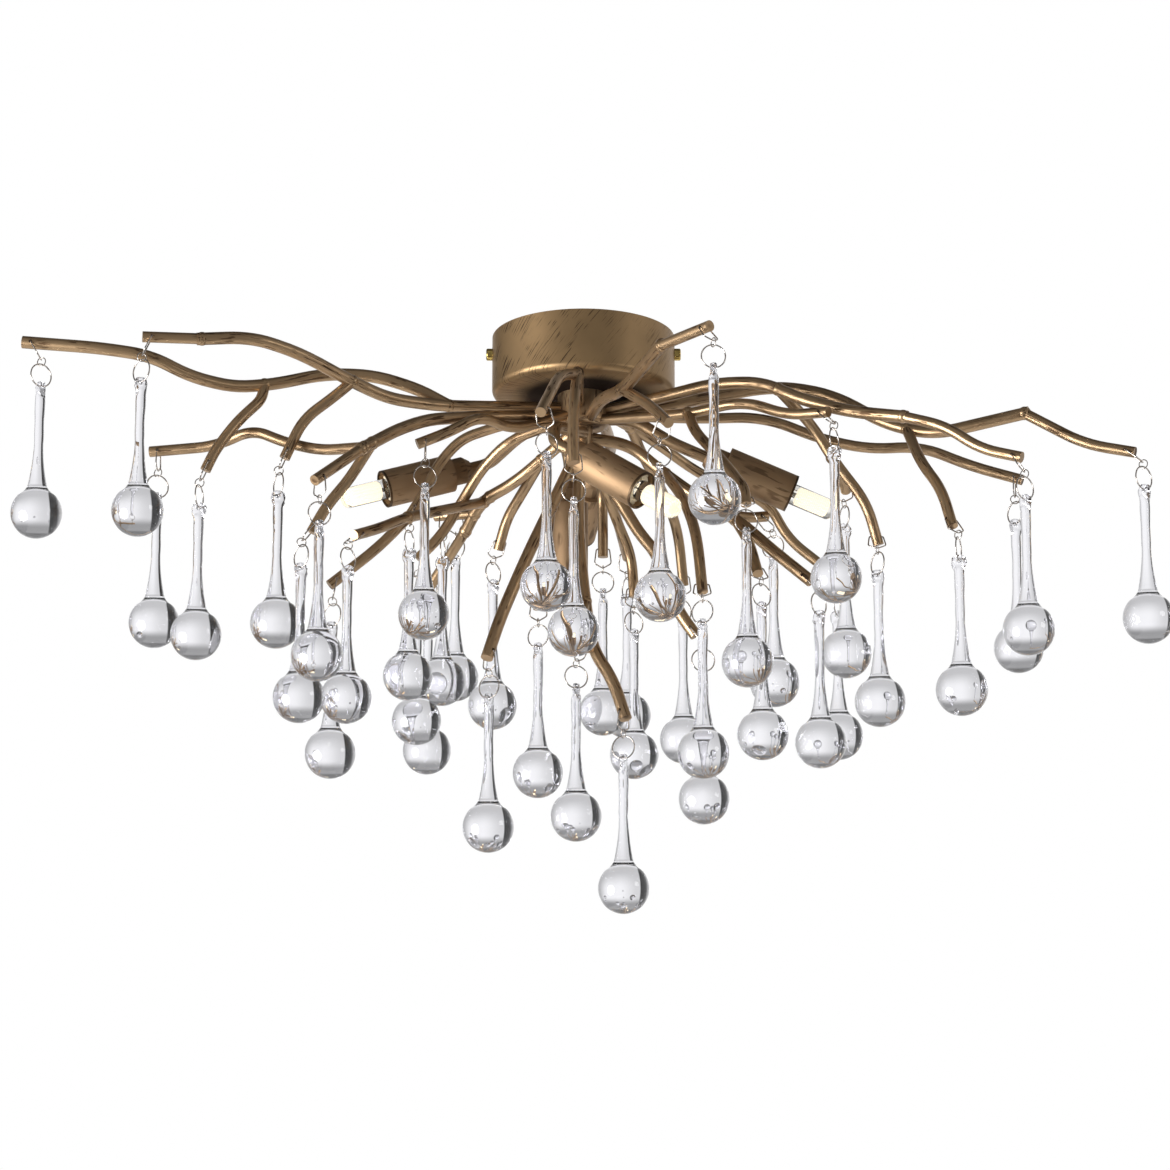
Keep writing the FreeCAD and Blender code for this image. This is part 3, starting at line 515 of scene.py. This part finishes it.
capsule_glass = clear_glass("bulb_clear_glass", capsule_tint)
core_material = lit_core()
lead_material = drawn_wire("nickel_lead_wire", lead_dark, lead_grey)
for joint in bulb_joints:
    number = number_of(joint)
    capsule = bmesh.new()
    lathe(capsule, capsule_outline(), capsule_sides)
    glass = solid_piece("bulb_%s_capsule" % number, capsule, capsule_glass)
    core = bmesh.new()
    lathe(core, core_outline, core_sides, ribbed)
    ribs = solid_piece("bulb_%s_core" % number, core, core_material)
    foot = bmesh.new()
    lathe(foot, foot_outline, foot_sides, flattened)
    pinch = solid_piece("bulb_%s_foot" % number, foot, ceramic, smooth=False)
    leads = bmesh.new()
    for aside in lead_places:
        bmesh.ops.translate(leads, vec=(aside, 0, 0), verts=lathe(leads, lead_outline, lead_sides))
    pins = solid_piece("bulb_%s_leads" % number, leads, lead_material)
    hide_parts("capsule_bulb_" + number)
    for piece in (glass, ribs, pinch, pins):
        piece.matrix_world = holder_frame(joint)
        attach(piece, joint["child"])

# Hooks and rings: bright round wire, cut and bent by hand. A hook is a five-sided loop through the cross hole
# of a rod; a small ring links it to the larger ring that carries the glass.
wire_steel = (0.62, 0.57, 0.52, 1)
wire_shade = (0.36, 0.32, 0.29, 1)
hook_wire_radius = 0.00045
hook_sides, hook_bend_steps = 10, 4
hook_bend = 0.0016
corner_size = 0.0022
longest_bend_share = 0.45
ring_points, ring_sides = 32, 8
ring_bend = 0.0001
large_ring_reach = 0.006
large_ring_flats, small_ring_flats = 12, 8
same_point = 1e-6


def mean_of(points):
    return sum(points, Vector()) / len(points)


def plane_normal(points, middle):
    """The direction square to the plane of a flat loop round the middle."""
    first = points[0] - middle
    normals = [first.cross(point - middle) for point in points]
    return max(normals, key=lambda normal: normal.length).normalized()


def islands(node):
    """The separate solids of a node, each as a list of points."""
    mesh = bmesh.new()
    mesh.from_mesh(frame["nodes"][node].data)
    bmesh.ops.remove_doubles(mesh, verts=mesh.verts, dist=same_point)
    seen = set()
    found = []
    for start in mesh.verts:
        if start in seen:
            continue
        seen.add(start)
        island = [start]
        for vert in island:
            for edge in vert.link_edges:
                other = edge.other_vert(vert)
                if other not in seen:
                    seen.add(other)
                    island.append(other)
        found.append([vert.co.copy() for vert in island])
    mesh.free()
    return sorted(found, key=lambda points: tuple(round(c, 5) for c in mean_of(points)))


def corners_of(points):
    """Groups the points of a bent wire into its corners, in order round the loop."""
    groups = []
    for point in points:
        for group in groups:
            if (group[0] - point).length < corner_size:
                group.append(point)
                break
        else:
            groups.append([point])
    centres = [mean_of(group) for group in groups]
    middle = mean_of(centres)
    first = (centres[0] - middle).normalized()
    side = plane_normal(centres, middle).cross(first)
    return sorted(centres, key=lambda c: math.atan2((c - middle).dot(side), (c - middle).dot(first)))


def wire_loop(mesh, corners, radius, bend, sides, bend_steps):
    """A closed round wire through the corners, each rounded off."""
    path = []
    for index, corner in enumerate(corners):
        before = corners[index - 1] - corner
        after = corners[(index + 1) % len(corners)] - corner
        reach = min(bend, before.length * longest_bend_share, after.length * longest_bend_share)
        start, end = corner + before.normalized() * reach, corner + after.normalized() * reach
        for step in range(bend_steps + 1):
            t = step / bend_steps
            path.append(start * (1 - t) ** 2 + corner * 2 * t * (1 - t) + end * t * t)
    flat = plane_normal(path, mean_of(path))
    rings = []
    for index, point in enumerate(path):
        run = (path[(index + 1) % len(path)] - path[index - 1]).normalized()
        across = run.cross(flat).normalized()
        turns = [2 * math.pi * side / sides for side in range(sides)]
        offsets = [across * radius * math.cos(turn) + flat * radius * math.sin(turn) for turn in turns]
        rings.append([mesh.verts.new(point + offset) for offset in offsets])
    for index, ring in enumerate(rings):
        following = rings[(index + 1) % len(rings)]
        for side in range(sides):
            after = (side + 1) % sides
            mesh.faces.new((ring[side], ring[after], following[after], following[side]))


def ring_wire(points):
    """The middle line of an upright ring and the radius of its wire. The ring's points spread furthest along
    its heading, seen from above."""
    centre = mean_of(points)
    offsets = [point - centre for point in points]
    reach = max(offset.length for offset in offsets)
    inside = min(offset.length for offset in offsets)
    across_x_y = sum(offset.x * offset.y for offset in offsets)
    along_x_less_y = sum(offset.x ** 2 - offset.y ** 2 for offset in offsets)
    heading = math.atan2(2 * across_x_y, along_x_less_y) / 2
    level = Vector((math.cos(heading), math.sin(heading), 0))
    half_flat = math.cos(math.pi / (large_ring_flats if reach > large_ring_reach else small_ring_flats))
    wire_radius = (reach - inside) * half_flat / 2
    ring_radius = reach * half_flat - wire_radius
    turns = [2 * math.pi * step / ring_points for step in range(ring_points)]
    return [centre + (level * math.cos(turn) + Vector((0, 0, 1)) * math.sin(turn)) * ring_radius
            for turn in turns], wire_radius


wire_material = drawn_wire("bright_drawn_wire", wire_shade, wire_steel)
hooks = bmesh.new()
for points in islands("wire_hooks"):
    wire_loop(hooks, corners_of(points), hook_wire_radius, hook_bend, hook_sides, hook_bend_steps)
rings = bmesh.new()
for points in islands("hanger_rings"):
    loop, wire_radius = ring_wire(points)
    wire_loop(rings, loop, wire_radius, ring_bend, ring_sides, bend_steps=1)
for name, mesh, node in (("wire_hooks_bent", hooks, "wire_hooks"),
                         ("hanger_rings_round", rings, "hanger_rings")):
    bmesh.ops.recalc_face_normals(mesh, faces=mesh.faces)
    bent = solid_piece(name, mesh, wire_material)
    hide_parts(node)
    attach(bent, "frame")

# Glass drops: solid clear glass, gathered and drawn by hand. A heavy ball with air bubbles, a crease where
# the tool nipped it, a thin drawn neck, and a head pinched flat and pierced for the ring. Heights run up from
# the middle of the ball.
drop_tint = (0.968, 0.966, 1.0, 1)
drop_sides = 44
ball_radius, bottom_share, ball_steps = 0.01625, 0.03, 26
shoulder_turn = math.radians(42)
shoulder_sag, sag_drop_share, shoulder_steps = 0.0006, 0.4, 7
crease_height, crease_radius = 0.0170, 0.0063
crease_lip, lip_share = 0.0006, 0.985
flare_share, flare_power, flare_steps = 0.97, 1.8, 14
neck_height, neck_radius, neck_steps = 0.046, 0.0029, 12
neck_wobble, wobble_turns = 0.00012, 9
neck_lean, lean_rate, lean_side_share = 0.00010, 190, 0.6
lean_start, lean_growth = 0.02, 60
head_start, head_neck_radius = 0.076, 0.0032
head_outline = [(0.0036, 0.0775), (0.0042, 0.0790), (0.0047, 0.0806), (0.0049, 0.0822), (0.0048, 0.0838),
                (0.0043, 0.0852), (0.0033, 0.0862), (0.0018, 0.0868), (0.0004, 0.0870)]
head_half_thickness, pinch_run = 0.0021, 0.004
head_lump, lump_fade_radius = 0.00022, 0.002
phase_count = 6
head_waves = ((1.0, 3, 900), (0.7, 5, -1500), (0.6, 2, 2300))
hole_height, hole_radius, hole_sides, drill_length = 0.0836, 0.0013, 20, 0.02
pivot_to_hole = 0.0003
first_seed = 70
large_bubbles = (0, 5, 0, 3, 7, 0, 2)
small_bubbles = (3, 2, 2, 4, 3, 2, 5)
round_bubble_radius = 0.0012
biggest_bubble_sort, biggest_bubble_radius = 3, 0.0016
biggest_bubble_place = Vector((0.006, -0.003, -0.006))
neck_bubble_sorts, neck_bubble_radius, neck_bubble_stretch = (1, 4), 0.0003, 9.0
neck_bubble_place = Vector((0.0004, 0, 0.034))


def drop_profile(source):
    """From the bottom: the ball, its drawn-in shoulder, the crease, the flare, the wavering neck and head."""
    outline = [(ball_radius * bottom_share, -ball_radius)]
    for step in range(1, ball_steps + 1):
        turn = -math.pi / 2 + (shoulder_turn + math.pi / 2) * step / ball_steps
        outline.append((ball_radius * math.cos(turn), ball_radius * math.sin(turn)))
    start_radius, start_height = outline[-1]
    for step in range(1, shoulder_steps):
        t = step / shoulder_steps
        sag = shoulder_sag * math.sin(math.pi * t)
        outline.append((start_radius + (crease_radius - start_radius) * t - sag,
                        start_height + (crease_height - start_height) * t - sag * sag_drop_share))
    flare_start = crease_height + crease_lip
    outline += [(crease_radius, crease_height), (crease_radius * lip_share, flare_start)]
    for step in range(1, flare_steps + 1):
        t = step / flare_steps
        radius = neck_radius + (crease_radius * flare_share - neck_radius) * (1 - t) ** flare_power
        outline.append((radius, flare_start + (neck_height - flare_start) * t))
    for step in range(1, neck_steps + 1):
        t = step / neck_steps
        wobble = neck_wobble * math.sin(t * wobble_turns + source.uniform(0, 1))
        outline.append((neck_radius + (head_neck_radius - neck_radius) * t + wobble,
                        neck_height + (head_start - neck_height) * t))
    return outline + head_outline


def pinched_by(phases):
    """The hand's marks: a neck that leans a little, by the first phase, and a lumpy head pressed flat."""

    def pinched(point, turn, radius):
        if point.z < head_start:
            grown = min(1, max(0, point.z - lean_start) * lean_growth)
            lean = neck_lean * math.sin(point.z * lean_rate + phases[0]) * grown
            return point + Vector((lean, lean * lean_side_share, 0))
        share = min(1, (point.z - head_start) / pinch_run)
        waves = sum(strength * math.sin(lobes * turn + phase + rate * point.z)
                    for (strength, lobes, rate), phase in zip(head_waves, phases[1:]))
        thick = head_half_thickness / max(radius, head_half_thickness)
        outward = Vector((math.cos(turn), math.sin(turn), 0))
        made = Vector((point.x * (1 - share + share * thick), point.y, point.z))
        made += outward * head_lump * waves * share * min(1, radius / lump_fade_radius)
        if share >= 1:
            made.x = max(-head_half_thickness, min(head_half_thickness, made.x))
        return made

    return pinched


def pierced(mesh):
    """The drop with a round hole drilled through its head, along X."""
    drill = bmesh.new()
    across = Matrix.Translation((0, 0, hole_height)) @ Matrix.Rotation(math.pi / 2, 4, "Y")
    bmesh.ops.create_cone(drill, cap_ends=True, segments=hole_sides, radius1=hole_radius, radius2=hole_radius,
                          depth=drill_length, matrix=across)
    body = solid_piece("drop_body", mesh, drop_glass)
    cutter = solid_piece("drill", drill, drop_glass)
    pierce = body.modifiers.new("pierce", "BOOLEAN")
    pierce.operation = "DIFFERENCE"
    pierce.solver = "EXACT"
    pierce.object = cutter
    bpy.context.view_layer.update()
    evaluated = body.evaluated_get(bpy.context.evaluated_depsgraph_get())
    made = bmesh.new()
    made.from_mesh(evaluated.to_mesh())
    bpy.data.objects.remove(body)
    bpy.data.objects.remove(cutter)
    return made


def bubble(mesh, centre, radius, stretch=1.0):
    """An air bubble: its faces look inward, away from the glass."""
    fineness = 3 if radius > round_bubble_radius else 2
    made = bmesh.ops.create_icosphere(mesh, subdivisions=fineness, radius=radius)
    for vert in made["verts"]:
        vert.co = Vector((vert.co.x, vert.co.y, vert.co.z * stretch)) + centre
    faces = {face for vert in made["verts"] for face in vert.link_faces}
    bmesh.ops.reverse_faces(mesh, faces=list(faces))


def scatter_bubbles(mesh, source, count, reach, height, radius, stretch=None):
    """Bubbles at seeded places, each measure drawn from its (least, most)."""
    for _ in range(count):
        turn, out = source.uniform(0, 2 * math.pi), source.uniform(*reach)
        centre = Vector((out * math.cos(turn), out * math.sin(turn), source.uniform(*height)))
        bubble(mesh, centre, source.uniform(*radius), source.uniform(*stretch) if stretch else 1.0)


def drop_mesh(sort):
    """One of several sorts of drop: they differ in their pinched heads and their bubbles."""
    source = random.Random(first_seed + sort)
    phases = [source.uniform(0, 2 * math.pi) for _ in range(phase_count)]
    mesh = bmesh.new()
    lathe(mesh, drop_profile(source), drop_sides, pinched_by(phases))
    bmesh.ops.recalc_face_normals(mesh, faces=mesh.faces)
    mesh = pierced(mesh)
    scatter_bubbles(mesh, source, large_bubbles[sort], reach=(0.008, 0.0128), height=(-0.0085, -0.004),
                    radius=(0.0003, 0.0009), stretch=(0.9, 1.2))
    scatter_bubbles(mesh, source, small_bubbles[sort], reach=(0.001, 0.006), height=(-0.0148, -0.0138),
                    radius=(0.0002, 0.0004))
    if sort == biggest_bubble_sort:
        bubble(mesh, biggest_bubble_place, biggest_bubble_radius)
    if sort in neck_bubble_sorts:
        bubble(mesh, neck_bubble_place, neck_bubble_radius, neck_bubble_stretch)
    data = bpy.data.meshes.new("glass_drop_mesh_%d" % sort)
    mesh.to_mesh(data)
    mesh.free()
    data.polygons.foreach_set("use_smooth", [True] * len(data.polygons))
    data.materials.append(drop_glass)
    return data


drop_glass = clear_glass("hand_drawn_glass", drop_tint)
drop_sorts = [drop_mesh(sort) for sort in range(len(large_bubbles))]
for joint in frame["joints"]:
    if not joint["name"].startswith("drop"):
        continue
    number = number_of(joint)
    sort = drop_sorts[int(number) % len(drop_sorts)]
    drop = bpy.data.objects.new("glass_drop_%s_drawn" % number, sort)
    bpy.context.scene.collection.objects.link(drop)
    across = Vector(joint["axis"])
    hang = Vector(joint["pos_m"]) - Vector((0, 0, pivot_to_hole + hole_height))
    drop.matrix_world = Matrix.Translation(hang) @ Matrix.Rotation(math.atan2(across.y, across.x), 4, "Z")
    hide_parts("glass_drop_" + number)
    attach(drop, joint["child"])

# Studio: a bright room all round, one large soft lamp from the lower left and a weak one from the right. A
# dark screen far to the left, the dim front and the dim ceiling give the glass its dark edges. Rays through
# the glass see only a share of the dim front, which keeps the drops clear from behind too.
room_level = 1.0
room_bands = [("X", 0.45, 0.85, 0.60), ("X", 0.15, -0.40, 0.72), ("Z", 0.22, -0.30, 0.60),
              ("Z", -0.45, -0.72, 1.0), ("Y", -0.05, -0.55, 0.21), ("Z", 0.42, 0.66, 0.30),
              ("X", -0.46, -0.51, 0.02), ("X", -0.74, -0.90, 0.34), ("Z", 0.80, 0.88, 0.08)]
front_axis, front_through_glass = "Y", 0.3
lamp_aim = (0, 0, -0.15)


def surround():
    """White to the camera. For the object, each band in turn brings the room to its own level, from a start
    to an end along one axis."""
    world = bpy.data.worlds.new("studio_surround")
    bpy.context.scene.world = world
    world.use_nodes = True
    nodes, links = world.node_tree.nodes, world.node_tree.links
    nodes.clear()
    place = nodes.new("ShaderNodeTexCoord")
    parts = nodes.new("ShaderNodeSeparateXYZ")
    links.new(place.outputs["Generated"], parts.inputs[0])
    ray = nodes.new("ShaderNodeLightPath")
    front_share = mixed(nodes, links, ray.outputs["Is Transmission Ray"], 1.0, front_through_glass)
    level = room_level
    for axis, start, end, value in room_bands:
        full = front_share if axis == front_axis else 1.0
        share = spread(nodes, links, parts.outputs[axis], start, end, high=full, smooth=True)
        level = mixed(nodes, links, share, level, value)
    light = nodes.new("ShaderNodeBackground")
    light.inputs["Color"].default_value = (1, 1, 1, 1)
    links.new(mixed(nodes, links, ray.outputs["Is Camera Ray"], level, room_level), light.inputs["Strength"])
    out = nodes.new("ShaderNodeOutputWorld")
    links.new(light.outputs[0], out.inputs["Surface"])


def soft_lamp(name, place, size, power):
    data = bpy.data.lights.new(name, "AREA")
    data.shape = "DISK"
    data.size = size
    data.energy = power
    lamp = bpy.data.objects.new(name, data)
    bpy.context.scene.collection.objects.link(lamp)
    lamp.location = place
    lamp.rotation_mode = "QUATERNION"
    lamp.rotation_quaternion = (Vector(lamp_aim) - Vector(place)).to_track_quat("-Z", "Y")


surround()
soft_lamp("lower_left_softbox", (-2.2, -1.15, -0.95), size=1.8, power=136)
soft_lamp("right_softbox", (2.0, -1.2, 0.1), size=0.8, power=6)

# Camera: a long lens 3 m away and below the light, tilted up at the photograph's angle. It looks a little
# below the canopy, which therefore stands above the middle of the picture.
camera_distance, camera_aside = 3.0, 0.001
camera_below, camera_tilt = math.radians(19.1), math.radians(16)
camera_data = bpy.data.cameras.new("photo_camera")
camera_data.lens = 139.85
camera_data.sensor_width = 36
camera_data.clip_end = 50
camera = bpy.data.objects.new("photo_camera", camera_data)
bpy.context.scene.collection.objects.link(camera)
camera.location = (camera_aside, -camera_distance * math.cos(camera_below),
                   -camera_distance * math.sin(camera_below))
camera.rotation_euler = (math.pi / 2 + camera_tilt, 0, 0)
bpy.context.scene.camera = camera
bpy.context.scene.view_settings.view_transform = "Standard"
